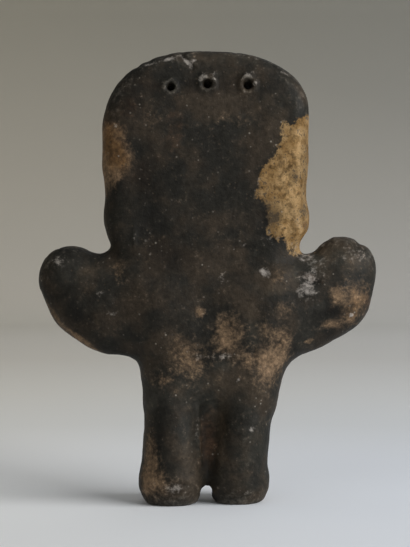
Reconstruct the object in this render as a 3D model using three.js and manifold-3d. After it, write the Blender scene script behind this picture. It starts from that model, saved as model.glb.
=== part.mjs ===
// A standing figure of fired clay in the manner of the Peruvian central coast: a broad slab of a head,
// stub arms raised like flippers, a short trunk and two thick legs joined by a web of clay.
// One solid, in millimetres. +Z is up, the face looks along -Y, and the figure's left arm is at +X. The
// sizes below are measured from the ground and from the middle of the trunk. The finished solid is then
// moved so that the origin lies on the ground under the middle of its bounding box.
//
// The body is modelled as a field: a function that is negative inside the clay and positive outside it.
// Slabs and limbs are blended as wet clay is, and the field is then meshed on a grid. Small parts, such as
// the eyes and the pierced holes, are ordinary geometries that are joined to that mesh or cut from it.
import * as THREE from "three";
import { mergeVertices } from "three/addons/utils/BufferGeometryUtils.js";
import Module from "manifold-3d";

const SIDES = [1, -1];

// The finished height. The sizes below add up to 1% more, and the figure is trimmed to it at the end.
const HEIGHT = 218;

// Driving dimensions of the slabs. Outlines are (x, z) and faces are (z, y) stations.
const HEAD = {
  top: 220.1,
  middle: 1.3,
  halfWidth: { left: 49.9, right: 49.8 },
  crownHeight: { left: 42.5, right: 31.5 },
  crownSquareness: 2.36,
  leftEdge: [[51, 162], [50, 150], [50.9, 139], [49.8, 132.5], [47.8, 127], [43.6, 118]],
  rightEdge: [[-48.3, 165], [-47.1, 150], [-48.9, 139.5], [-47.4, 132], [-43, 125.5], [-40, 118]],
  base: 100,
  back: [[100, 12], [118, 13], [135, 12.4], [160, 11.2], [195, 11], [220, 8]],
  front: [[100, -10], [112, -12.5], [122, -15.8], [138, -16.2], [165, -13], [200, -9], [220, -6]],
  roundness: 0.85,
};
const TRUNK = {
  leftEdge: [[40, 116], [38, 96], [34, 78], [30.2, 66], [27.5, 50]],
  rightEdge: [[-29.4, 48], [-33.8, 62], [-37.8, 72], [-39, 96], [-38, 114]],
  back: [[46, 12.5], [64, 15.6], [88, 16], [105, 13], [118, 8]],
  front: [[46, -16], [70, -22], [92, -18.5], [108, -13.5], [118, -11]],
  roundness: 0.85,
};
const WEB = {
  leftEdge: [[10, 58], [10, 9.5]],
  rightEdge: [[-9, 9.5], [-13, 58]],
  back: [[8, 4], [58, 6]],
  front: [[8, -9], [58, -10]],
  roundness: 0.3,
};

// Limbs are flattened balls of clay strung along straight stretches from station to station.
const ARMS = [
  [
    { at: [24, 0, 97], radius: 23, halfDepth: 13 },
    { at: [45.6, 0, 97.4], radius: 25.1, halfDepth: 14.5 },
    { at: [58, -1, 100.4], radius: 20.1, halfDepth: 14 },
    { at: [66.5, -2, 109.6], radius: 16, halfDepth: 12.5 },
  ],
  [
    { at: [-24, 0, 97], radius: 23, halfDepth: 13 },
    { at: [-43, 0, 97], radius: 24, halfDepth: 14.5 },
    { at: [-58, -1, 101.8], radius: 20.4, halfDepth: 14 },
    { at: [-65, -2, 113.8], radius: 16.2, halfDepth: 12 },
  ],
];
const LEGS = [
  {
    shin: [
      { at: [16.5, 0, 60], radius: 14.5, halfDepth: 12.5 },
      { at: [17.2, 0, 46], radius: 13.8, halfDepth: 15.2 },
      { at: [17.6, 0, 38], radius: 13.5, halfDepth: 16 },
      { at: [17.8, 0, 20], radius: 14.5, halfDepth: 16.5 },
      { at: [17.8, 0, 11.2], radius: 15.6, halfDepth: 17 },
    ],
    foot: [
      { at: [17.8, 0, 11.2], radius: 15.6, halfDepth: 17 },
      { at: [18, -9, 10.8], radius: 14.4, halfDepth: 14.6 },
      { at: [18.2, -16, 9], radius: 12, halfDepth: 12 },
    ],
  },
  {
    shin: [
      { at: [-18, 0, 60], radius: 15, halfDepth: 12.5 },
      { at: [-17.8, 0, 46], radius: 13.4, halfDepth: 15 },
      { at: [-17.4, 0, 38], radius: 12.6, halfDepth: 15.8 },
      { at: [-15.2, -1.5, 20], radius: 13.4, halfDepth: 15.4 },
      { at: [-14.1, -3.5, 10.9], radius: 14.7, halfDepth: 15 },
    ],
    foot: [
      { at: [-14.1, -3.5, 10.9], radius: 14.7, halfDepth: 15 },
      { at: [-15, -10, 10.6], radius: 13.8, halfDepth: 14 },
      { at: [-15.2, -16.3, 9], radius: 11.6, halfDepth: 11.6 },
    ],
  },
];

// How far two forms melt into each other where they meet.
const BLEND = { neck: 5, shoulder: 14, hip: 9, crotch: 2.5 };

// Holes pierced through the top of the head from behind and slightly downwards, each in a ring of
// clay that the tool pushed up. x and z are its place on the back.
const PIERCINGS = [
  { x: 18.2, z: 201.4, ring: 2.9 },
  { x: 0.7, z: 203.1, ring: 3.3 },
  { x: -18.8, z: 202.6, ring: 3.3 },
];
const PIERCING = { radius: 2.1, dip: 20, ringThickness: 0.9, length: 60 };

// The face and the navel. half is a form's half size in x, y and z, and sunk is how far behind the
// skin its centre lies.
const EYE = { x: 20, z: 156, lidRadius: 8.6, lidThickness: 1.5, opening: 0.52, ball: [5, 2.6, 2.9] };
const NOSE = { z: 150, half: [7.6, 8.5, 15], bridge: 0.45, sunk: 1 };
const MOUTH = { z: 130.5, half: [11, 3.2, 3.8], slitShare: [0.8, 1, 0.22] };
const EAR = { x: 44, y: -10.5, z: 141, half: [5.6, 6, 11] };
const NAVEL = { z: 76, radius: 2.6 };

const GRID = { spacing: [4.8, 4.2, 4.8], low: [-91, -37, -9], high: [91, 26, 231] };
const CURVE_POINTS = 32;
const BALLS_PER_STRETCH = 8;
const SETTLE = { steps: 4, probe: 0.05, flattest: 0.1 };
const RAY_STEP = 0.1;
const BALL_SIDES = [16, 8];
const RING_SIDES = [8, 16];
const LID_SIDES = [6, 20];
const GROUND_DEPTH = 30;

const wasm = await Module();
wasm.setup();

// A smooth curve through (position, value) stations, as a function that gives the value at a position.
function profile(stations) {
  const points = splinePoints(stations, CURVE_POINTS);
  return (position) => {
    const next = points.findIndex(({ x }) => x > position);
    if (next === 0) return points[0].y;
    if (next < 0) return points[CURVE_POINTS].y;
    const [from, to] = [points[next - 1], points[next]];
    return THREE.MathUtils.mapLinear(position, from.x, to.x, from.y, to.y);
  };
}

function splinePoints(points, count) {
  return new THREE.SplineCurve(points.map(([x, z]) => new THREE.Vector2(x, z))).getPoints(count);
}

// The head's outline: two quarters of a superellipse over the crown, then each edge down to the base.
function headOutline() {
  const { top, middle, halfWidth, crownHeight, crownSquareness, leftEdge, rightEdge, base } = HEAD;
  const power = 2 / crownSquareness;
  const crown = [];
  for (let step = -CURVE_POINTS; step <= CURVE_POINTS; step += 1) {
    const angle = (step / CURVE_POINTS) * (Math.PI / 2);
    const side = step < 0 ? "right" : "left";
    const across = Math.sign(step) * halfWidth[side] * Math.abs(Math.sin(angle)) ** power;
    const up = crownHeight[side] * (Math.cos(angle) ** power - 1);
    crown.push(new THREE.Vector2(middle + across, top + up));
  }
  const left = splinePoints([crown[crown.length - 1].toArray(), ...leftEdge], CURVE_POINTS);
  const right = splinePoints([crown[0].toArray(), ...rightEdge], CURVE_POINTS);
  const foot = [
    new THREE.Vector2(leftEdge[leftEdge.length - 1][0], base),
    new THREE.Vector2(rightEdge[rightEdge.length - 1][0], base),
  ];
  return [...crown, ...left.slice(1), ...foot, ...right.slice(1).reverse()];
}

function sideOutline({ leftEdge, rightEdge }) {
  return [...splinePoints(leftEdge, CURVE_POINTS), ...splinePoints(rightEdge, CURVE_POINTS)];
}

// Distance from (x, z) to a closed outline, negative inside it.
function outlineDistance(outline, x, z) {
  let nearest = Infinity;
  let inside = false;
  for (let i = 0, j = outline.length - 1; i < outline.length; j = i, i += 1) {
    const a = outline[i];
    const b = outline[j];
    const alongX = b.x - a.x;
    const alongZ = b.y - a.y;
    const reach = ((x - a.x) * alongX + (z - a.y) * alongZ) / (alongX ** 2 + alongZ ** 2);
    const share = THREE.MathUtils.clamp(reach, 0, 1);
    nearest = Math.min(nearest, Math.hypot(x - a.x - alongX * share, z - a.y - alongZ * share));
    if (a.y > z !== b.y > z && x < a.x + (alongX * (z - a.y)) / alongZ) inside = !inside;
  }
  return inside ? -nearest : nearest;
}

// A slab of clay with rounded edges, between a front and a back face that follow their stations.
function slab(outline, { back, front, roundness }) {
  const backAt = profile(back);
  const frontAt = profile(front);
  return ({ x, y, z }) => {
    const halfDepth = (backAt(z) - frontAt(z)) / 2;
    const radius = halfDepth * roundness;
    const edge = outlineDistance(outline, x, z) + radius;
    const face = Math.abs(y - (backAt(z) + frontAt(z)) / 2) - halfDepth + radius;
    return Math.min(Math.max(edge, face), 0) + Math.hypot(Math.max(edge, 0), Math.max(face, 0)) - radius;
  };
}

// Distance to a flattened ball, near enough where it matters, which is on and around its surface.
function ballDistance({ centre, radius, halfDepth }, { x, y, z }) {
  const [dx, dy, dz] = [x - centre.x, y - centre.y, z - centre.z];
  const scaled = Math.hypot(dx / radius, dy / halfDepth, dz / radius);
  const slope = Math.hypot(dx / radius ** 2, dy / halfDepth ** 2, dz / radius ** 2);
  return slope ? (scaled * (scaled - 1)) / slope : -Math.min(radius, halfDepth);
}

function limb(stations) {
  const balls = stations.slice(1).flatMap((to, i) => {
    const from = stations[i];
    return Array.from({ length: BALLS_PER_STRETCH + 1 }, (_, step) => {
      const share = step / BALLS_PER_STRETCH;
      return {
        centre: new THREE.Vector3(...from.at).lerp(new THREE.Vector3(...to.at), share),
        radius: THREE.MathUtils.lerp(from.radius, to.radius, share),
        halfDepth: THREE.MathUtils.lerp(from.halfDepth, to.halfDepth, share),
      };
    });
  });
  return (point) => balls.reduce((nearest, ball) => Math.min(nearest, ballDistance(ball, point)), Infinity);
}

// The union of two fields, melted together over a width.
function blend(width, a, b) {
  return (point) => {
    const here = a(point);
    const there = b(point);
    const overlap = Math.max(width - Math.abs(here - there), 0) / width;
    return Math.min(here, there) - (overlap ** 2 * width) / 4;
  };
}

function clayField() {
  const head = slab(headOutline(), HEAD);
  const trunk = slab(sideOutline(TRUNK), TRUNK);
  const web = slab(sideOutline(WEB), WEB);
  const shoulders = ARMS.reduce((clay, arm) => blend(BLEND.neck, clay, limb(arm)), head);
  const torso = blend(BLEND.shoulder, shoulders, trunk);
  const legs = LEGS.map(({ shin, foot }) => blend(BLEND.crotch, limb(shin), limb(foot)));
  const lower = legs.reduce((clay, leg) => blend(BLEND.crotch, clay, leg), web);
  return blend(BLEND.hip, torso, lower);
}

// Moves a point along the field's slope until it lies on the clay's surface.
function settle(field, point, limit) {
  const start = point.clone();
  for (let i = 0; i < SETTLE.steps; i += 1) {
    const here = field(point);
    const slope = new THREE.Vector3();
    for (const axis of ["x", "y", "z"]) {
      const beside = point.clone();
      beside[axis] += SETTLE.probe;
      slope[axis] = (field(beside) - here) / SETTLE.probe;
    }
    point.addScaledVector(slope, -here / Math.max(slope.lengthSq(), SETTLE.flattest));
  }
  return point.distanceTo(start) < limit ? point : start;
}

// Meshes a field on a grid: one vertex in each cell that the surface crosses, and one quadrilateral
// for each grid edge that it crosses.
function meshOfField(field) {
  const { spacing, low, high } = GRID;
  const counts = low.map((from, axis) => Math.round((high[axis] - from) / spacing[axis]) + 1);
  const strides = [1, counts[0], counts[0] * counts[1]];
  const pointAt = (...cell) =>
    new THREE.Vector3(...cell.map((at, axis) => low[axis] + at * spacing[axis]));
  const indexAt = (i, j, k) => i * strides[0] + j * strides[1] + k * strides[2];
  const values = new Float64Array(counts[0] * counts[1] * counts[2]);
  const everyCell = (margin, visit) => {
    for (let k = 0; k < counts[2] - margin; k += 1)
      for (let j = 0; j < counts[1] - margin; j += 1)
        for (let i = 0; i < counts[0] - margin; i += 1) visit(i, j, k);
  };
  everyCell(0, (i, j, k) => {
    values[indexAt(i, j, k)] = field(pointAt(i, j, k));
  });

  const positions = [];
  const vertexOfCell = new Map();
  const corners = [0, 1, 2, 3, 4, 5, 6, 7].map((bits) => [bits & 1, (bits >> 1) & 1, bits >> 2]);
  const edges = corners.flatMap((a, i) =>
    corners.slice(i + 1).flatMap((b) => {
      const differing = a.filter((bit, axis) => bit !== b[axis]).length;
      return differing === 1 ? [[a, b]] : [];
    }),
  );
  everyCell(1, (i, j, k) => {
    const crossings = [];
    for (const [a, b] of edges) {
      const valueA = values[indexAt(i + a[0], j + a[1], k + a[2])];
      const valueB = values[indexAt(i + b[0], j + b[1], k + b[2])];
      if (valueA < 0 === valueB < 0) continue;
      const from = pointAt(i + a[0], j + a[1], k + a[2]);
      crossings.push(from.lerp(pointAt(i + b[0], j + b[1], k + b[2]), valueA / (valueA - valueB)));
    }
    if (!crossings.length) return;
    const mean = crossings.reduce((sum, at) => sum.add(at), new THREE.Vector3());
    const vertex = settle(field, mean.divideScalar(crossings.length), spacing[0]);
    vertexOfCell.set(indexAt(i, j, k), positions.length / 3);
    positions.push(...vertex.toArray());
  });

  const triangles = [];
  const vertexAt = (index) => new THREE.Vector3().fromArray(positions, index * 3);
  everyCell(1, (i, j, k) => {
    const here = indexAt(i, j, k);
    for (let axis = 0; axis < 3; axis += 1) {
      const there = here + strides[axis];
      if (values[here] < 0 === values[there] < 0) continue;
      const [u, v] = [strides[(axis + 1) % 3], strides[(axis + 2) % 3]];
      const quad = [here, here - u, here - u - v, here - v].map((cell) => vertexOfCell.get(cell));
      if (values[here] >= 0) quad.reverse();
      const [a, b, c, d] = quad;
      const acrossAC = vertexAt(a).distanceTo(vertexAt(c));
      const acrossBD = vertexAt(b).distanceTo(vertexAt(d));
      triangles.push(...(acrossAC < acrossBD ? [a, b, c, a, c, d] : [a, b, d, b, c, d]));
    }
  });
  return new THREE.BufferGeometry()
    .setAttribute("position", new THREE.Float32BufferAttribute(positions, 3))
    .setIndex(triangles);
}

function solidOf(geometry) {
  const bare = geometry.clone();
  bare.deleteAttribute("normal");
  bare.deleteAttribute("uv");
  const merged = mergeVertices(bare);
  return new wasm.Manifold(
    new wasm.Mesh({
      numProp: 3,
      vertProperties: merged.attributes.position.array,
      triVerts: new Uint32Array(merged.index.array),
    }),
  );
}

function geometryOf(solid) {
  const { vertProperties, triVerts, numProp } = solid.getMesh();
  const positions = [];
  for (let i = 0; i < vertProperties.length; i += numProp) {
    positions.push(...vertProperties.subarray(i, i + 3));
  }
  const geometry = new THREE.BufferGeometry()
    .setAttribute("position", new THREE.Float32BufferAttribute(positions, 3))
    .setIndex(Array.from(triVerts));
  geometry.computeVertexNormals();
  return geometry;
}

// The y of the clay's surface at (x, z), searched from outside. toward is 1 from the front, -1 from behind.
function surfaceY(field, x, z, toward) {
  const ray = new THREE.Vector3(x, toward > 0 ? GRID.low[1] : GRID.high[1], z);
  while (field(ray) > 0) ray.y += toward * RAY_STEP;
  return ray.y;
}

function ellipsoid(half, x, y, z) {
  return new THREE.SphereGeometry(1, ...BALL_SIDES).rotateX(Math.PI / 2).scale(...half).translate(x, y, z);
}

function piercings(field) {
  const { radius, dip, ringThickness, length } = PIERCING;
  const [tubeSides, sides] = RING_SIDES;
  const slope = THREE.MathUtils.degToRad(dip);
  return PIERCINGS.map(({ x, z, ring }) => {
    const y = surfaceY(field, x, z, -1);
    return {
      ring: new THREE.TorusGeometry(ring, ringThickness, tubeSides, sides)
        .rotateX(Math.PI / 2)
        .translate(x, y, z),
      hole: new THREE.CylinderGeometry(radius, radius, length, sides)
        .rotateX(slope)
        .translate(x, y, z),
    };
  });
}

function eyes(field) {
  return SIDES.flatMap((side) => {
    const x = HEAD.middle + side * EYE.x;
    const y = surfaceY(field, x, EYE.z, 1);
    const lid = new THREE.TorusGeometry(EYE.lidRadius, EYE.lidThickness, ...LID_SIDES)
      .rotateX(Math.PI / 2)
      .scale(1, 1, EYE.opening)
      .translate(x, y, EYE.z);
    return [lid, ellipsoid(EYE.ball, x, y, EYE.z)];
  });
}

// A long ridge, narrow at the bridge and wide at the nostrils.
function nose(field) {
  const ridge = ellipsoid([1, 1, 1], 0, 0, 0);
  const { position } = ridge.attributes;
  for (let i = 0; i < position.count; i += 1) {
    const towardsBridge = (position.getZ(i) + 1) / 2;
    position.setX(i, position.getX(i) * THREE.MathUtils.lerp(1, NOSE.bridge, towardsBridge));
  }
  const y = surfaceY(field, HEAD.middle, NOSE.z, 1) + NOSE.sunk;
  return ridge.scale(...NOSE.half).translate(HEAD.middle, y, NOSE.z);
}

function mouth(field) {
  const { half, z, slitShare } = MOUTH;
  const y = surfaceY(field, HEAD.middle, z, 1);
  const slit = half.map((size, axis) => size * slitShare[axis]);
  return {
    lips: ellipsoid(half, HEAD.middle, y, z),
    slit: ellipsoid(slit, HEAD.middle, y - half[1], z),
  };
}

function ears() {
  return SIDES.map((side) => ellipsoid(EAR.half, HEAD.middle + side * EAR.x, EAR.y, EAR.z));
}

function navel(field) {
  const { radius, z } = NAVEL;
  return ellipsoid([radius, radius, radius], 0, surfaceY(field, 0, z, 1), z);
}

function ground() {
  const size = GRID.high[0] - GRID.low[0];
  return new THREE.BoxGeometry(size, size, GROUND_DEPTH).translate(0, 0, -GROUND_DEPTH / 2);
}

// Moves a geometry so that the origin is under the middle of its bounding box, and trims its height.
function centred(geometry) {
  geometry.computeBoundingBox();
  const { min, max } = geometry.boundingBox;
  const middle = geometry.boundingBox.getCenter(new THREE.Vector3());
  return geometry
    .translate(-middle.x, -middle.y, -min.z)
    .scale(1, 1, HEIGHT / (max.z - min.z));
}

function figureGeometry() {
  const field = clayField();
  const pierced = piercings(field);
  const { lips, slit } = mouth(field);
  const joined = [...eyes(field), nose(field), lips, ...ears(), ...pierced.map(({ ring }) => ring)];
  const cut = [ground(), slit, navel(field), ...pierced.map(({ hole }) => hole)];
  let clay = solidOf(meshOfField(field));
  for (const piece of joined) clay = clay.add(solidOf(piece));
  for (const piece of cut) clay = clay.subtract(solidOf(piece));
  return centred(geometryOf(clay));
}

const firedClay = new THREE.MeshStandardMaterial({ color: 0x3b342e, roughness: 0.72, metalness: 0 });
const figure = new THREE.Mesh(figureGeometry(), firedClay);
figure.name = "clay_figure";

const statuette = new THREE.Group();
statuette.add(figure);
export default statuette;
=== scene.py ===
import math

import bpy
import numpy as np
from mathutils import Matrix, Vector, noise


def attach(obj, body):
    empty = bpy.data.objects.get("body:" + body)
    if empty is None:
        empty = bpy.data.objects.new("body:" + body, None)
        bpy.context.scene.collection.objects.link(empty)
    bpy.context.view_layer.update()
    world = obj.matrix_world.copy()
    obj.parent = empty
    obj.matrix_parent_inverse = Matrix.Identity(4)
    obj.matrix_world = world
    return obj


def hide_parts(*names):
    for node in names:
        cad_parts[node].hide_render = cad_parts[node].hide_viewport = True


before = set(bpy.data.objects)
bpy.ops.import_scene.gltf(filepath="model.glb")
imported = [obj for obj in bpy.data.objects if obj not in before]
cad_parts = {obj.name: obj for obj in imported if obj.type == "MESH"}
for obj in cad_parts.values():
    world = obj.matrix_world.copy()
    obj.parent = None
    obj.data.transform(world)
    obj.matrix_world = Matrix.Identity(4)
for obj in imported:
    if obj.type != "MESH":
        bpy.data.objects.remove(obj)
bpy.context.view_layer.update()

# Sizes in this script are in millimetres unless a name says otherwise.
MM = 0.001

# The skin starts as the CAD solid with its facets rounded off, in even cells of this size.
SKIN_CELL = 0.88
ROUNDING_LEVELS = 2
SMOOTHING_PASSES = 6
SHRINKAGE = 0.05
MEETING_PASSES = 3
MEETING_LIMIT = 0.5
MERGE_DISTANCE = 0.001

# The two sides of the slab meet at this depth, and marks fade over this much of the edge.
EDGE_MIDDLE = 3
EDGE_FADE = 5

# Hand-built unevenness: wavelength, height and number of octaves.
UNEVENNESS = [(34, 0.5, 2), (13, 0.24, 2), (5.5, 0.13, 2), (2.2, 0.06, 2)]
NOISE_STEP = 7.3

# The soles stay flat: what is carved starts at the first height and is whole at the second.
SOLE = (0.2, 2.0)

# The crown's three holes where they come out at the back: place, ring radius and height, how
# broken the ring is and how pale its painted highlight is.
HOLES = [
    {"x": 18.2, "z": 200.6, "ring": 3.7, "height": 0.2, "broken": 0.8, "pale": 0.1},
    {"x": -0.2, "z": 201.9, "ring": 3.9, "height": 0.3, "broken": 1.2, "pale": 0.3},
    {"x": -19.3, "z": 201.4, "ring": 4.0, "height": 0.3, "broken": 0.8, "pale": 0.15},
]
RING_WIDTH = 0.9
CRUMB_SIZE = 3.0
CRUMBLING = 1.6

# How steeply an oval mark fades from its middle.
OVAL_FALL = 1.4

# Raised and sunken strokes on the back: from, to, half width and height.
STROKES = {
    "gouge in the crown": ((12.0, 215.2), (6.8, 208.9), 1.0, -0.9),
    "burr beside the gouge": ((10.2, 215.4), (5.4, 210.4), 0.8, 0.35),
    "cut beside the gouge": ((8.8, 213.4), (5.0, 212.8), 0.6, -0.35),
    "ridge low on the left edge": ((35.0, 133.6), (34.4, 123.5), 1.1, 0.4),
    "pale ridge on the right edge": ((-42.8, 181), (-43.0, 130), 1.8, 0.35),
    "crease at the right arm": ((-49.0, 106.0), (-53.4, 107.0), 1.1, -0.9),
    "fold across the left arm": ((53.7, 103), (45.6, 98.2), 1.6, 0.35),
    "trough lip on the left leg": ((5.2, 46.4), (4.0, 20), 1.3, 0.75),
    "trough lip over the arch": ((5.0, 47.5), (-2.8, 52), 1.6, 0.45),
    "step on the left heel": ((23.3, 13.6), (9.4, 10.2), 1.1, -0.5),
    "crack in the trunk": ((-22.4, 75.7), (-22.2, 71.4), 0.6, -0.4),
    "scratch low on the head": ((-16.6, 125.6), (-18.4, 123.2), 0.5, -0.3),
    "scratch across that": ((-18.4, 125.4), (-16.6, 123.4), 0.5, -0.3),
}

# Round marks on the back: place, half width, half height, turn in degrees and height.
DENTS = {
    "bump low on the left edge": (29.3, 126.4, 1.8, 1.8, 0, 0.45),
    "crumb over the left hole": (17.0, 203.9, 1.1, 0.9, 0, 0.5),
    "crumb left of the middle hole": (2.6, 204.8, 1.9, 1.5, 0, 0.8),
    "crumb right of the middle hole": (-3.4, 206.2, 1.3, 1.2, 0, 0.8),
    "crumb under the middle hole": (-3.2, 199.5, 1.1, 1.3, 0, 0.6),
    "lump over the right hole": (-19.4, 205.9, 3.6, 2.3, 0, 0.9),
    "crumb right of the right hole": (-22.8, 201.7, 1.3, 1.1, 0, 0.8),
    "bulge at the right arm": (-47.2, 102.5, 5.5, 4.2, 0, 0.6),
    "swelling above the crease": (-49, 109.5, 6, 3.2, 0, 0.45),
    "knuckle on the left hand": (71.4, 116.4, 4, 3.6, 0, 0.5),
    "hollow by the knuckle": (64, 111, 5, 4, 0, -0.4),
    "nub on the right hand": (-61, 128.6, 2.4, 2, 0, 0.8),
    "grain in the right arm": (-68.7, 91, 1.2, 1.2, 0, 0.6),
    "abraded left heel": (15.9, 8.4, 6.5, 3, -8, -0.5),
    "pit below the head": (-27.6, 111.4, 2.6, 1.8, 30, -0.5),
    "spot on the right leg": (-21.1, 37, 1.8, 1.8, 0, -0.35),
}

# Incised and raised strokes on the front, as for the back: the same on both sides of the middle.
FRONT_STROKES = {
    "slit of the eye": ((14.5, 155.4), (25.5, 155.4), 0.8, -0.9),
    "slit of the mouth": ((0, 130.2), (8.5, 130.2), 0.9, -1.3),
    "brow": ((11, 165.5), (30, 164.5), 2.2, 0.5),
    "first gap between fingers": ((72, 123), (66.5, 116), 0.8, -0.7),
    "second gap between fingers": ((77, 119), (70, 112.5), 0.8, -0.7),
    "third gap between fingers": ((80, 113), (72.5, 108.5), 0.8, -0.7),
    "first gap between toes": ((12, 9), (12, 0), 0.8, -0.7),
    "second gap between toes": ((17, 9), (17, 0), 0.8, -0.7),
    "third gap between toes": ((22, 8), (22, 0), 0.8, -0.7),
}

# Chips out of edges, cut through from back to front: place, half width, half height, turn and height.
CHIPS = {
    "right hand's top": (-73.6, 125.6, 5, 3, -38, -1.3),
    "crown, first": (33.6, 210.6, 2.2, 1.6, 0, -0.5),
    "crown, second": (27.6, 212.6, 2.6, 1.6, 0, -0.4),
    "crown, third": (18.8, 214.6, 2.6, 1.5, 0, -0.6),
    "crown, at the gouge": (11.6, 216.2, 1.8, 1.6, 0, -0.7),
    "crown, right": (-13.4, 217.4, 1.6, 1.2, 0, -0.3),
    "arch between the feet": (0.6, 4.8, 2.0, 3.2, 0, -4.6),
}

# The patch of buff slip with a crisp, ragged edge, as an outline on the back, across and up.
BUFF_PATCH = [
    (-54, 187.3), (-43.8, 186.6), (-40, 184.7), (-35.7, 182.8), (-34.1, 179.9), (-33, 172.3),
    (-30.6, 164.2), (-25.8, 160.8), (-23.5, 158.6), (-23.5, 155.2), (-25.2, 151.3), (-24.5, 147),
    (-27.6, 144.3), (-29, 136.9), (-28.5, 129.3), (-32.7, 126.9), (-37.5, 125.9), (-38.1, 122.6),
    (-42.9, 119.7), (-54, 121),
]

# The browner stain opposite, drawn in the same way but with a soft edge.
BROWN_STAIN = [
    (56, 185.2), (42.7, 183.8), (37.7, 180.1), (37.4, 174.2), (35, 170.6), (33.9, 165.1),
    (35, 161.8), (39.1, 155.6), (43.8, 151.4), (47.3, 147.4), (56, 145),
]

# Soft clouds of tan, as ovals on the back: place, half width, half height, turn and strength.
TAN = [
    (-9.9, 81, 9, 13, 0, 0.7),
    (-8.2, 81, 4.5, 8, 0, 0.35),
    (-28, 68.1, 6.5, 12, 0, 1.1),
    (-35.7, 75.3, 4.5, 12, 8, 0.75),
    (-35.7, 94.4, 4.5, 4, 0, 0.5),
    (-30, 84, 10, 4, 20, 0.4),
    (-19.2, 69.5, 3.5, 6, 0, 0.6),
    (7.3, 68.6, 8.5, 11, 0, 0.65),
    (14, 75, 7, 9, 0, 0.35),
    (21.7, 60, 7.5, 5, 0, 0.4),
    (3.5, 92.5, 2.8, 3, 0, 1.1),
    (26.8, 25, 4.5, 13, -6, 0.8),
    (24, 11, 9, 8, 0, 0.7),
    (-62, 100.6, 5.5, 5.5, 0, 0.9),
    (-71.5, 99.6, 7.5, 11, 0, 0.75),
    (-60, 86.7, 6.5, 2.8, 0, 0.8),
    (-68.2, 89.6, 4, 4, 0, 0.7),
    (-48.6, 78.6, 3.2, 1.4, -20, 0.9),
    (-33.3, 109.2, 4.5, 4, 0, 0.45),
    (-14.7, 183.8, 14, 4, 0, 0.25),
    (27.4, 185.2, 5, 6, 0, 0.25),
    (42.2, 112, 3.5, 6.5, 0, 0.5),
    (58, 102, 3, 2.6, 0, 0.4),
    (-41, 123.5, 4, 3, 0, 0.3),
]

# The same on the outer edge, where tan from the front shows round it.
EDGE_TAN = [
    (60, 78.6, 13, 2.0, 35, 1.3),
    (74, 92, 8, 1.6, 55, 0.8),
    (29.5, 12, 2.5, 9, 0, 0.8),
    (-47.5, 134, 2.5, 14, 0, 0.5),
]

# Clouds of smoke (less than 0) and paler clay (more than 0), as ovals in the same way; a few pale ones
# are painted highlights and sheen, as marked below.
TONES = [
    (27.4, 149.3, 10, 25, 0, -0.8),
    (34, 203, 16, 9, 20, -0.4),
    (12, 127, 16, 22, 0, -0.2),
    (-5.1, 184.7, 26, 10, 0, 0.25),
    (-38, 196, 9, 14, 30, 0.3),
    (62, 90, 15, 6.5, 44, -0.75),
    (76.5, 104, 4.5, 9, 0, -0.5),
    (27.4, 95.8, 9, 12, 0, -0.3),
    (-26.1, 92.5, 6.5, 7, 0, -0.6),
    (-0.8, 71, 2.6, 9, 0, -0.5),
    (22.6, 38.5, 5.5, 20, 2, -0.6),
    # The next one is a painted highlight down the middle of the left leg, on the side facing the
    # window.
    (10.2, 28.9, 4, 16, 0, 0.5),
    (-8.9, 31.3, 4.2, 17, 3, -0.3),
    (-21.8, 31.3, 7, 22, 0, 0.3),
    (-59.1, 92.9, 5.6, 3.3, 0, -1.2),
    (-60.6, 116.4, 4.5, 10, -8, -0.2),
    (-49.6, 88.6, 5.5, 5, 0, -0.2),
    (-58.6, 81, 10, 2.8, -31, -0.5),
    (-41.7, 157.5, 2.4, 5, 0, -1.1),
    (-45.7, 140.3, 2.4, 4, 0, -0.8),
    (-33.3, 137.9, 3.5, 3.5, 0, -0.8),
    (-37.1, 134, 3.5, 6, 0, 0.35),
    (44, 170, 9, 16, 0, -0.5),
    # The next two are painted sheen on the right arm's root and hand.
    (-52, 115.5, 9, 7, 0, 1.1),
    (-70, 117, 9, 8, 0, 0.6),
    (-21, 86, 5, 16, 0, 0.9),
    (-47, 83, 7, 12, 0, 0.8),
    (4, 56, 26, 11, 0, 0.9),
    (27, 50, 5, 14, 0, 1.2),
    (-3, 47, 6, 6, 0, 1.0),
    (-14, 25, 14, 20, 0, 0.4),
    (62, 112, 17, 6, 0, 0.6),
    (0, 214, 36, 4, 0, 0.5),
    (0, 201, 30, 3.6, 0, -0.8),
    (36, 193, 6, 8, 0, -0.8),
    (30, 155, 5, 10, 0, -0.5),
    (18, 118, 10, 7, 0, -0.7),
    (-30, 138, 6, 10, 0, -0.8),
    (-47, 160, 3.5, 28, 0, -0.7),
    # The next one is painted sheen on the right arm's root.
    (-60, 120, 13, 7, 0, 0.9),
    (-7, 67, 8, 4, 0, 0.9),
    # The next one is a painted highlight along the trough's lip on the left leg.
    (4, 32, 2, 14, 0, 0.8),
    (-7, 26, 2.5, 18, 0, 0.9),
    # The next one is painted sheen on the right arm's root.
    (-42, 110, 3.5, 6, 0, 1.1),
    (-30, 103, 8, 4, 0, 0.7),
    (-54, 95, 4, 3, 0, 0.8),
    (24, 124, 7, 8, 0, -0.8),
    (38, 189, 5, 7, 0, -0.8),
    (-41, 137, 3, 12, 0, -0.5),
    (31, 158, 4, 7, 0, -0.6),
]

# Reddish stains, in the same way.
REDS = [
    (15, 179.5, 6.5, 15, 0, 0.5),
    (-0.3, 28.9, 4.8, 18, 0, 0.9),
    (21.7, 60, 7, 5, 0, 0.3),
    (-49, 108.7, 6, 3.4, 0, 0.6),
    (-46.7, 134, 2.6, 3, 0, 0.9),
    (48, 175.6, 3.5, 11, 0, 0.9),
    (-77.3, 96.8, 4, 10, -12, 0.5),
    (37, 190.5, 9, 4, 0, 0.4),
    (-70.6, 121.1, 8, 7, 0, 0.3),
    (42, 167, 6, 15, 0, 0.8),
    (-68, 95, 10, 10, 0, 0.3),
]
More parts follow.
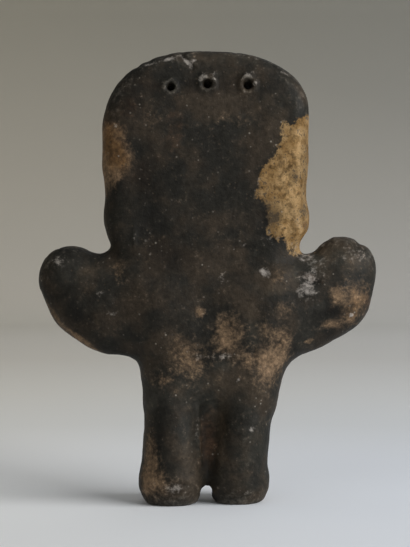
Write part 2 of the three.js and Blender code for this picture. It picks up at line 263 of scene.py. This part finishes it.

# Whitish places, in the same way: rubbed places, and painted highlights and sheen where raised parts
# catch the light, as marked below.
PALES = [
    (9.5, 212, 5, 1.7, 48, 1.0),
    (6.4, 212.7, 1.6, 1.2, 0, 0.6),
    (18.8, 213.6, 4.2, 1.6, -12, 0.9),
    (28.4, 211, 6.5, 1.8, -20, 0.65),
    (-19, 215.2, 9, 1.2, 13, 0.35),
    (-36, 207.5, 10, 1.3, 35, 0.35),
    # The next four are painted highlights on the crumbs round the holes.
    (2.6, 204.8, 2.2, 1.6, 0, 0.5),
    (-3.4, 206.2, 1.6, 1.3, 0, 0.6),
    (-19.4, 206.2, 4, 2.4, 0, 0.5),
    (-22.8, 201.7, 1.4, 1.3, 0, 0.9),
    (-27.3, 111.3, 3.6, 2.4, 35, 1.1),
    # The next five are painted sheen on the right arm's root, its top and its hand.
    (-49, 108.7, 6, 3.4, 0, 0.55),
    (-47.2, 102.5, 6, 4.5, 0, 0.8),
    (-46.2, 118.8, 4.2, 2.2, 0, 0.6),
    (-53.9, 124, 7.5, 1.5, -31, 0.6),
    (-70.6, 121.1, 8.5, 7.5, 0, 0.45),
    (-68.7, 91, 1.4, 1.4, 0, 1.4),
    # The next one is a painted highlight on the left hand's knuckle.
    (71.4, 116.4, 3.6, 2.8, 0, 0.7),
    # The next one is a painted highlight on the fold across the left arm.
    (49.9, 100.8, 5.5, 1.8, 30, 0.5),
    (45.1, 91.5, 4.6, 3, 0, 0.5),
    # The next two are painted highlights on the ridge and bump low on the left edge.
    (35, 128.5, 0.9, 5.4, 0, 0.45),
    (29.3, 126.4, 1.6, 1.6, 0, 0.4),
    (-8.5, 71.9, 6, 2.6, 0, 0.7),
    (4.5, 71.4, 6, 2.6, 0, 0.55),
    (-14.4, 60.4, 1.6, 1, 0, 0.8),
    (3.5, 92.5, 4.5, 4, 0, 0.35),
    (-8, 108.2, 3.8, 4.2, 0, 0.4),
    (-17.5, 124.3, 2, 0.6, 45, 0.6),
    (-17.5, 124.3, 2, 0.6, -45, 0.5),
    (15.9, 8.8, 6.5, 3.8, 0, 0.65),
    # The next one is a painted highlight along the trough's lip on the left leg.
    (5.0, 34.4, 1.2, 12, 1, 0.5),
    (-21.1, 37, 1.8, 1.8, 0, 0.8),
    (-17.5, 6.9, 4.2, 2, 0, 0.45),
    (-24.2, 156, 1.1, 5, 0, 0.5),
    (43.8, 181.2, 0.8, 0.8, 0, 1.1),
    (-41, 123.5, 3.2, 3, 0, 0.5),
    # The next one is painted sheen on the right arm's root.
    (-52, 115, 8, 6.5, 0, 0.5),
    (-32, 128, 6, 6, 0, 0.35),
]

# On the front, which the smoke reached less: the size and share of its tan clouds and slip.
FRONT = {
    "cloud": 32,
    "cloud_share": 0.45,
    "cloud_swing": 0.9,
    "slip_cloud": 40,
    "slip_share": -5,
    "slip_swing": 20,
}
PATCH_ROUND_THE_EDGE = 10
DEEPEST_SLIP = 14

# The stain fades from this far outside its outline to this far inside.
STAIN_FADE = (-2, 6)

# Relief shading and edge wear look at the surface against its average over this many rounds of
# neighbours.
NEAR_PASSES = 8
WIDE_PASSES = 60

# The camera stands at the photograph's place, level, and looks at the back of the figure.
CAMERA_PLACE = (1.15, 765, 110.9)
CAMERA_LENS = 103.4


def select_only(piece):
    bpy.ops.object.select_all(action="DESELECT")
    piece.select_set(True)
    bpy.context.view_layer.objects.active = piece


def apply_modifier(piece, kind, **settings):
    modifier = piece.modifiers.new(kind, kind)
    for name, value in settings.items():
        setattr(modifier, name, value)
    bpy.ops.object.modifier_apply(modifier=modifier.name)


# Rounding a mesh shrinks it. This moves its corners out until the rounded mesh passes through the
# places where they were.
def meet_corners(piece, levels):
    mesh = piece.data
    wanted = points_of(mesh)
    corners = wanted.copy()
    modifier = piece.modifiers.new("rounding", "SUBSURF")
    modifier.levels = levels
    for _ in range(MEETING_PASSES):
        graph = bpy.context.evaluated_depsgraph_get()
        rounded = points_of(piece.evaluated_get(graph).data)[: len(wanted)]
        corners += np.clip(wanted - rounded, -MEETING_LIMIT, MEETING_LIMIT)
        set_points(mesh, corners)
        bpy.context.view_layer.update()
    piece.modifiers.remove(modifier)


# A fine, even, closed mesh with the solid's shape and its facets rounded off.
def rounded_copy(node, name):
    piece = bpy.data.objects.new(name, node.data.copy())
    bpy.context.scene.collection.objects.link(piece)
    piece.data.materials.clear()
    select_only(piece)
    bpy.ops.object.mode_set(mode="EDIT")
    bpy.ops.mesh.select_all(action="SELECT")
    bpy.ops.mesh.remove_doubles(threshold=MERGE_DISTANCE * MM)
    bpy.ops.mesh.customdata_custom_splitnormals_clear()
    bpy.ops.mesh.tris_convert_to_quads()
    bpy.ops.object.mode_set(mode="OBJECT")
    meet_corners(piece, ROUNDING_LEVELS)
    apply_modifier(piece, "SUBSURF", levels=ROUNDING_LEVELS, render_levels=ROUNDING_LEVELS)
    apply_modifier(piece, "REMESH", mode="VOXEL", voxel_size=SKIN_CELL * MM)
    apply_modifier(piece, "SMOOTH", factor=0.5, iterations=SMOOTHING_PASSES)
    bpy.ops.object.shade_smooth()
    return piece


def points_of(mesh):
    values = np.empty(len(mesh.vertices) * 3, np.float32)
    mesh.vertices.foreach_get("co", values)
    return values.reshape(-1, 3).astype(float) / MM


def normals_of(mesh):
    values = np.empty(len(mesh.vertices) * 3, np.float32)
    mesh.vertex_normals.foreach_get("vector", values)
    return values.reshape(-1, 3).astype(float)


def set_points(mesh, points):
    mesh.vertices.foreach_set("co", (points * MM).astype(np.float32).ravel())
    mesh.update()


def smoothstep(low, high, value):
    t = np.clip((value - low) / (high - low), 0, 1)
    return t * t * (3 - 2 * t)


def rough(points, wavelength, octaves, place):
    scaled = points / wavelength + place
    return np.array([noise.fractal(Vector(p), 1.0, 2.0, octaves) for p in scaled])


# How far each point belongs to the back, 0 on the front and 1 on the back.
def on_back(points):
    return smoothstep(EDGE_MIDDLE - EDGE_FADE, EDGE_MIDDLE + EDGE_FADE, points[:, 1])


# A soft oval mark, 1 in its middle and a quarter at its half width and half height.
def oval(points, x, z, half_width, half_height, turn):
    cos, sin = math.cos(math.radians(turn)), math.sin(math.radians(turn))
    across = (points[:, 0] - x) * cos + (points[:, 2] - z) * sin
    along = (points[:, 2] - z) * cos - (points[:, 0] - x) * sin
    return np.exp(-OVAL_FALL * ((across / half_width) ** 2 + (along / half_height) ** 2))


def distance_to_stroke(points, start, end):
    start, end = np.array(start, float), np.array(end, float)
    flat = points[:, [0, 2]] - start
    run = end - start
    share = np.clip(flat @ run / (run @ run), 0, 1)
    return np.linalg.norm(flat - share[:, None] * run, axis=1)


def carve(piece):
    mesh = piece.data
    points, normals = points_of(mesh), normals_of(mesh)
    height = np.full(len(points), SHRINKAGE)
    for number, (wavelength, amount, octaves) in enumerate(UNEVENNESS):
        height += amount * rough(points, wavelength, octaves, NOISE_STEP * (number + 1))
    back = on_back(points)
    for start, end, half_width, amount in STROKES.values():
        distance = distance_to_stroke(points, start, end)
        height += amount * back * np.exp(-((distance / half_width) ** 2))
    mirrored = np.column_stack([np.abs(points[:, 0]), points[:, 1:]])
    for start, end, half_width, amount in FRONT_STROKES.values():
        distance = distance_to_stroke(mirrored, start, end)
        height += amount * (1 - back) * np.exp(-((distance / half_width) ** 2))
    for *shape, amount in DENTS.values():
        height += amount * back * oval(points, *shape)
    for *shape, amount in CHIPS.values():
        height += amount * oval(points, *shape)
    for hole in HOLES:
        height += hole["height"] * back * ring_round(points, hole)
    standing = smoothstep(*SOLE, points[:, 2])
    points += normals * (height * standing)[:, None]
    points[:, 2] = np.maximum(points[:, 2], 0)
    set_points(mesh, points)


# The crumbly ring of clay round a hole, 0 away from it and about 1 on it.
def ring_round(points, hole):
    distance = np.hypot(points[:, 0] - hole["x"], points[:, 2] - hole["z"])
    ring = np.exp(-(((distance - hole["ring"]) / RING_WIDTH) ** 2))
    return ring * (1 + hole["broken"] * CRUMBLING * rough(points, CRUMB_SIZE, 2, hole["x"]))


# How far a point is inside an outline, in millimetres, less than 0 outside it.
def depth_inside(points, outline):
    flat = points[:, [0, 2]]
    nearest = np.full(len(points), np.inf)
    inside = np.zeros(len(points), bool)
    for start, end in zip(outline, outline[1:] + outline[:1]):
        nearest = np.minimum(nearest, distance_to_stroke(points, start, end))
        (x1, z1), (x2, z2) = start, end
        if z1 != z2:
            crosses = (z1 > flat[:, 1]) != (z2 > flat[:, 1])
            inside ^= crosses & (flat[:, 0] < x1 + (x2 - x1) * (flat[:, 1] - z1) / (z2 - z1))
    return np.where(inside, nearest, -nearest)


def sum_of_ovals(points, ovals):
    total = np.zeros(len(points))
    for x, z, half_width, half_height, turn, strength in ovals:
        total += strength * oval(points, x, z, half_width, half_height, turn)
    return total


# How much each point stands out of its surroundings (1) or lies in a hollow (-1).
def relief_of(mesh, points, normals, passes):
    edges = np.empty(len(mesh.edges) * 2, np.int32)
    mesh.edges.foreach_get("vertices", edges)
    first, second = edges.reshape(-1, 2).T
    count = np.bincount(edges, minlength=len(points)).astype(float)[:, None]
    smooth = points.copy()
    for _ in range(passes):
        total = np.zeros_like(smooth)
        np.add.at(total, first, smooth[second])
        np.add.at(total, second, smooth[first])
        smooth = total / count
    return ((points - smooth) * normals).sum(1)


def add_attribute(mesh, name, values):
    flat = values.ndim == 1
    attribute = mesh.attributes.new(name, "FLOAT" if flat else "FLOAT_VECTOR", "POINT")
    attribute.data.foreach_set("value" if flat else "vector", values.astype(np.float32).ravel())


# The colour marks that the material reads: the depth inside the slip, the clouds with some painted
# sheen,
# and the wear with painted light: relief for painted shade in hollows and light on bumps, paleness for
# rubbing and painted highlights, broad edges for wear.
def paint(piece):
    mesh = piece.data
    points, normals = points_of(mesh), normals_of(mesh)
    back = on_back(points)
    patch = depth_inside(points, BUFF_PATCH)
    front_patch = FRONT["slip_swing"] * rough(points, FRONT["slip_cloud"], 3, 3.1) + FRONT["slip_share"]
    front_patch = np.maximum(front_patch, patch - PATCH_ROUND_THE_EDGE)
    slip = np.clip(front_patch + (patch - front_patch) * back, -DEEPEST_SLIP, DEEPEST_SLIP)
    front_tan = FRONT["cloud_swing"] * rough(points, FRONT["cloud"], 3, 5.7) + FRONT["cloud_share"]
    back_tan = sum_of_ovals(points, TAN) + smoothstep(*STAIN_FADE, depth_inside(points, BROWN_STAIN))
    tan = front_tan + (back_tan - front_tan) * back + sum_of_ovals(points, EDGE_TAN)
    tone = back * sum_of_ovals(points, TONES)
    red = back * sum_of_ovals(points, REDS)
    pale = back * sum_of_ovals(points, PALES)
    # Painted highlight on the raised ring round each hole.
    for hole in HOLES:
        pale += hole["pale"] * back * ring_round(points, hole)
    # The material paints shade into hollows and light onto bumps with this relief.
    relief_shading = relief_of(mesh, points, normals, NEAR_PASSES)
    edge = relief_of(mesh, points, normals, WIDE_PASSES)
    add_attribute(mesh, "slip", slip)
    add_attribute(mesh, "clouds", np.stack([tan, tone, red], axis=1))
    add_attribute(mesh, "wear", np.stack([relief_shading, pale, edge], axis=1))


class Shade:
    """A socket in a material's nodes, and the sums that can be done with it."""

    def __init__(self, tree, socket):
        self.tree = tree
        self.socket = socket

    def math(self, operation, *values):
        return add_node(self.tree, "Math", {"operation": operation}, dict(enumerate(values)))

    def __add__(self, other):
        return self.math("ADD", self, other)

    def __sub__(self, other):
        return self.math("SUBTRACT", self, other)

    def __rsub__(self, other):
        return self.math("SUBTRACT", other, self)

    def __mul__(self, other):
        return self.math("MULTIPLY", self, other)

    def __truediv__(self, other):
        return self.math("DIVIDE", self, other)

    __radd__ = __add__
    __rmul__ = __mul__


def set_stops(ramp, stops):
    while len(ramp.elements) < len(stops):
        ramp.elements.new(1)
    for element, (position, tint) in zip(ramp.elements, stops):
        element.position = position
        element.color = tint


def add_node(tree, kind, settings=None, inputs=None, output=0):
    node = tree.nodes.new("ShaderNode" + kind)
    for name, value in (settings or {}).items():
        if name == "stops":
            set_stops(node.color_ramp, value)
        else:
            setattr(node, name, value)
    for name, value in (inputs or {}).items():
        if isinstance(value, Shade):
            tree.links.new(value.socket, node.inputs[name])
        else:
            node.inputs[name].default_value = value
    return Shade(tree, node.outputs[output])


def colour(red, green, blue):
    return (red, green, blue, 1)


SMOKE = colour(0.0165, 0.0155, 0.0125)
EARTH = colour(0.028, 0.0215, 0.0150)
RUST = colour(0.055, 0.031, 0.018)
TAN_CLAY = colour(0.175, 0.115, 0.068)
STAIN = colour(0.14, 0.078, 0.033)
OCHRE = colour(0.205, 0.118, 0.043)
CREAM = colour(0.33, 0.215, 0.10)
CHALK = colour(0.34, 0.31, 0.28)
GRIT = colour(0.26, 0.235, 0.20)
DIRT = colour(0.046, 0.036, 0.025)


class Recipe:
    """A material in the making: it holds the node tree and makes its nodes."""

    def __init__(self, name):
        self.material = bpy.data.materials.new(name)
        self.material.use_nodes = True
        self.tree = self.material.node_tree
        self.shader = self.tree.nodes["Principled BSDF"]

    def node(self, kind, settings=None, inputs=None, output=0):
        return add_node(self.tree, kind, settings, inputs, output)

    def place(self):
        return self.node("TexCoord", output="Object")

    # Noise around 0 that seldom goes beyond 2 either way.
    def waves(self, place, size, detail=2, roughness=0.5):
        values = {"Vector": place, "Scale": 1 / (size * MM), "Detail": detail, "Roughness": roughness}
        return (self.node("TexNoise", None, values) - 0.5) * 7

    # Round dots scattered about one to each cell, and a random number for each dot.
    def dots(self, place, cell, radius):
        values = {"Vector": place, "Scale": 1 / (cell * MM)}
        distance = self.node("TexVoronoi", None, values)
        chance = self.split(self.node("TexVoronoi", None, values, output=1))[0]
        return self.ramp(distance, radius * 0.6 / cell, radius * 1.2 / cell, 1, 0), chance

    def ramp(self, value, low, high, to_low=0.0, to_high=1.0):
        settings = {"interpolation_type": "SMOOTHSTEP"}
        values = {0: value, 1: low, 2: high, 3: to_low, 4: to_high}
        return self.node("MapRange", settings, values)

    def attribute(self, name, output="Vector"):
        return self.node("Attribute", {"attribute_name": name}, output=output)

    def split(self, vector):
        node = self.tree.nodes.new("ShaderNodeSeparateXYZ")
        self.tree.links.new(vector.socket, node.inputs[0])
        return [Shade(self.tree, output) for output in node.outputs]

    def power_of_two(self, value):
        return value.math("POWER", 2, value)

    def scaled(self, tint, amount):
        values = {0: tint[:3] if isinstance(tint, tuple) else tint, "Scale": amount}
        return self.node("VectorMath", {"operation": "SCALE"}, values)

    def mix_numbers(self, share, first, second):
        return share * (second - first) + first

    def mix(self, share, first, second):
        settings = {"data_type": "RGBA"}
        return self.node("Mix", settings, {0: share, 6: first, 7: second}, output=2)

    def feed(self, name, value):
        if isinstance(value, Shade):
            self.tree.links.new(value.socket, self.shader.inputs[name])
        else:
            self.shader.inputs[name].default_value = value


def clay():
    recipe = Recipe("fired_clay")
    place = recipe.place()
    tan, tone, red = recipe.split(recipe.attribute("clouds"))
    relief_shading, pale, edge = recipe.split(recipe.attribute("wear"))
    slip = recipe.attribute("slip", output="Fac")

    broad = recipe.waves(place, 34)
    patchy = recipe.waves(place, 12, 3)
    ragged = recipe.waves(place, 7, 4, 0.6)
    mottle = recipe.waves(place, 4.2, 3, 0.6)
    grain = recipe.waves(place, 1.9, 2, 0.7)
    pit, pit_chance = recipe.dots(place, 2.6, 0.55)
    pits = pit * recipe.ramp(pit_chance + patchy * 0.1, 0.5, 0.7)
    grit, grit_chance = recipe.dots(place, 2.5, 0.5)
    grits = grit * recipe.ramp(grit_chance + patchy * 0.22 + mottle * 0.14 + pale * 0.5, 0.8, 1.3)

    # The relief term is painted shade in hollows and painted light on bumps.
    shade = tone + broad * 0.16 + patchy * 0.18 + mottle * 0.2 + grain * 0.3 + relief_shading * 1.2
    dark = recipe.mix(recipe.ramp(patchy + broad, -1.2, 1.2), SMOKE, EARTH)
    dark = recipe.mix(recipe.ramp(red + mottle * 0.2, 0.1, 1.0, 0, 0.75), dark, RUST)
    dark = recipe.scaled(dark, recipe.power_of_two(shade))

    tan_share = recipe.ramp(tan + ragged * 0.07 + mottle * 0.09 + grain * 0.14, 0.1, 1.25, 0, 0.9)
    tan_colour = recipe.mix(recipe.ramp(red + patchy * 0.3, 0.1, 1.0), TAN_CLAY, STAIN)
    # The relief term paints shade into hollows and light onto bumps here too.
    tan_shade = tone + mottle * 0.25 + grain * 0.35 + relief_shading * 0.8
    tan_colour = recipe.scaled(tan_colour, recipe.power_of_two(tan_shade))
    body = recipe.mix(tan_share, dark, tan_colour)

    slip_depth = slip + ragged * 1.6 + mottle * 1.0 + grain * 0.8
    slip_share = recipe.ramp(slip_depth, -0.6, 1.6)
    dirt = recipe.ramp(grain + mottle * 0.5 - tone * 1.2 - slip_depth * 0.06, 0.0, 1.4, 0, 0.9)
    slip_colour = recipe.mix(recipe.ramp(patchy + mottle * 0.6, -1.2, 1.2), OCHRE, CREAM)
    slip_colour = recipe.mix(recipe.ramp(red, 0.2, 1.0), slip_colour, STAIN)
    # The relief term paints shade into hollows and light onto bumps here too.
    slip_shade = tone * 0.5 + mottle * 0.35 + grain * 0.6 + relief_shading * 0.8 - 0.3
    slip_colour = recipe.scaled(slip_colour, recipe.power_of_two(slip_shade))
    slip_colour = recipe.mix(dirt, slip_colour, DIRT)
    body = recipe.mix(slip_share, body, slip_colour)

    body = recipe.mix(pits * 0.6, body, DIRT)
    # Rubbed places and painted highlights both turn chalky here.
    rubbing_and_highlight = recipe.ramp(pale + mottle * 0.12 + grain * 0.22, 0.3, 1.1, 0, 0.75)
    body = recipe.mix(rubbing_and_highlight, body, CHALK)
    body = recipe.mix(grits * 0.7, body, GRIT)
    body = recipe.mix(recipe.ramp(edge + mottle * 0.2 + grain * 0.3, 0.9, 2.2, 0, 0.25), body, GRIT)
    recipe.feed("Base Color", body)

    recipe.feed("Roughness", recipe.mix_numbers(slip_share, 0.55, 0.85) + grain * 0.06 + rubbing_and_highlight * 0.2)
    recipe.feed("Specular IOR Level", 0.10)
    height = mottle * 0.25 + grain * 0.3 - pits + grits * 0.6 - dirt * slip_share * 0.5
    values = {"Strength": 0.6, "Distance": 0.22 * MM, "Height": height}
    recipe.feed("Normal", recipe.node("Bump", None, values))
    return recipe.material


# The paper's colour along the way from the middle of the table out and up the wall, in metres, with
# painted shade that darkens it up the wall where less light reaches.
PAPER_WITH_PAINTED_SHADE = [
    (0.0, colour(0.83, 0.86, 0.89)),
    (0.2, colour(0.82, 0.84, 0.86)),
    (0.4, colour(0.77, 0.78, 0.77)),
    (0.7, colour(0.78, 0.775, 0.74)),
    (1.3, colour(0.76, 0.74, 0.69)),
    (1.9, colour(0.80, 0.78, 0.73)),
    (2.7, colour(0.82, 0.80, 0.74)),
    (3.0, colour(0.76, 0.73, 0.67)),
    (3.4, colour(0.645, 0.62, 0.56)),
    (3.7, colour(0.57, 0.545, 0.485)),
    (4.0, colour(0.49, 0.47, 0.415)),
    (4.4, colour(0.385, 0.37, 0.32)),
]

# Painted light colour on the paper: its tint on the side away from the window, warmer, and on the
# window's side, bluer.
FAR_SIDE_PAINTED_LIGHT = colour(1.05, 1.03, 1.0)
WINDOW_SIDE_PAINTED_LIGHT = colour(1.0, 1.02, 1.07)


def paper():
    recipe = Recipe("paper_with_painted_light")
    x, y, z = recipe.split(recipe.place())
    squares = x * x + y * y
    across = squares.math("SQRT", squares)
    length = PAPER_WITH_PAINTED_SHADE[-1][0]
    stops = [(position / length, tint) for position, tint in PAPER_WITH_PAINTED_SHADE]
    way = (across + z) / length
    # Painted light and shade along the way out from the middle and up the wall.
    tint = recipe.node("ValToRGB", {"stops": stops}, {"Fac": way})
    # Painted light colour, shifting from the window's side to the far side.
    side = recipe.mix(recipe.ramp(x / (across + 0.8), -0.16, 0.16), WINDOW_SIDE_PAINTED_LIGHT, FAR_SIDE_PAINTED_LIGHT)
    recipe.feed("Base Color", recipe.node("VectorMath", {"operation": "MULTIPLY"}, {0: tint, 1: side}))
    recipe.feed("Roughness", 0.9)
    recipe.feed("Specular IOR Level", 0.1)
    return recipe.material


# One sheet makes the table and the backdrop: a disc that curves up into a wall all round.
FLOOR_RADIUS = 2.6
WALL_HEIGHT = 2.6
SWEEP = 1.0
SWEEP_STEPS = 12
ROUND_STEPS = 96


def stage():
    profile = [(0.0, 0.0), (FLOOR_RADIUS, 0.0)]
    for step in range(1, SWEEP_STEPS + 1):
        angle = math.radians(90 * step / SWEEP_STEPS)
        across = FLOOR_RADIUS + SWEEP * math.sin(angle)
        profile.append((across, SWEEP * (1 - math.cos(angle))))
    profile.append((FLOOR_RADIUS + SWEEP, WALL_HEIGHT))
    mesh = bpy.data.meshes.new("stage")
    edges = [(i, i + 1) for i in range(len(profile) - 1)]
    mesh.from_pydata([(x, 0, z) for x, z in profile], edges, [])
    piece = bpy.data.objects.new("stage", mesh)
    bpy.context.scene.collection.objects.link(piece)
    select_only(piece)
    bpy.ops.object.mode_set(mode="EDIT")
    bpy.ops.mesh.select_all(action="SELECT")
    bpy.ops.mesh.spin(steps=ROUND_STEPS, angle=2 * math.pi, center=(0, 0, 0), axis=(0, 0, 1))
    bpy.ops.mesh.select_all(action="SELECT")
    bpy.ops.mesh.remove_doubles(threshold=0.0001)
    bpy.ops.mesh.normals_make_consistent(inside=True)
    bpy.ops.object.mode_set(mode="OBJECT")
    bpy.ops.object.shade_smooth()
    piece.data.materials.append(paper())


def area_light(name, place, size, power, tint=(1, 1, 1), target=(0, 0, 0.11)):
    data = bpy.data.lights.new(name, "AREA")
    data.shape = "RECTANGLE"
    data.size, data.size_y = size
    data.energy = power
    data.color = tint
    light = bpy.data.objects.new(name, data)
    bpy.context.scene.collection.objects.link(light)
    light.location = place
    aim = Vector(target) - Vector(place)
    light.rotation_euler = aim.to_track_quat("-Z", "Y").to_euler()
    light.visible_camera = False


def lights():
    area_light("window", (-2.2, 1.4, 1.2), (2.8, 1.4), 100, target=(0, 0.35, 0.8))
    area_light("ceiling", (0.0, 0.0, 3.2), (2.4, 2.4), 8)
    area_light("back_fill", (0.9, 2.0, 1.5), (1.8, 1.4), 6)
    area_light("front_fill", (-1.0, -2.4, 1.8), (2.0, 2.0), 6)
    world = bpy.data.worlds.new("room")
    bpy.context.scene.world = world
    world.use_nodes = True
    background = world.node_tree.nodes["Background"]
    background.inputs["Color"].default_value = colour(0.9, 0.95, 1.0)
    background.inputs["Strength"].default_value = 0.12


def camera():
    data = bpy.data.cameras.new("camera")
    data.lens = CAMERA_LENS
    data.sensor_width = 36
    piece = bpy.data.objects.new("camera", data)
    bpy.context.scene.collection.objects.link(piece)
    piece.location = [value * MM for value in CAMERA_PLACE]
    piece.rotation_euler = (math.radians(90), 0, math.radians(180))
    bpy.context.scene.camera = piece
    settings = bpy.context.scene.view_settings
    settings.view_transform = "Standard"
    settings.look = "None"
    settings.exposure = 0
    settings.gamma = 1


skin = rounded_copy(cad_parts["clay_figure"], "clay_skin")
carve(skin)
paint(skin)
skin.data.materials.append(clay())
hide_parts("clay_figure")
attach(skin, "root")
stage()
lights()
camera()
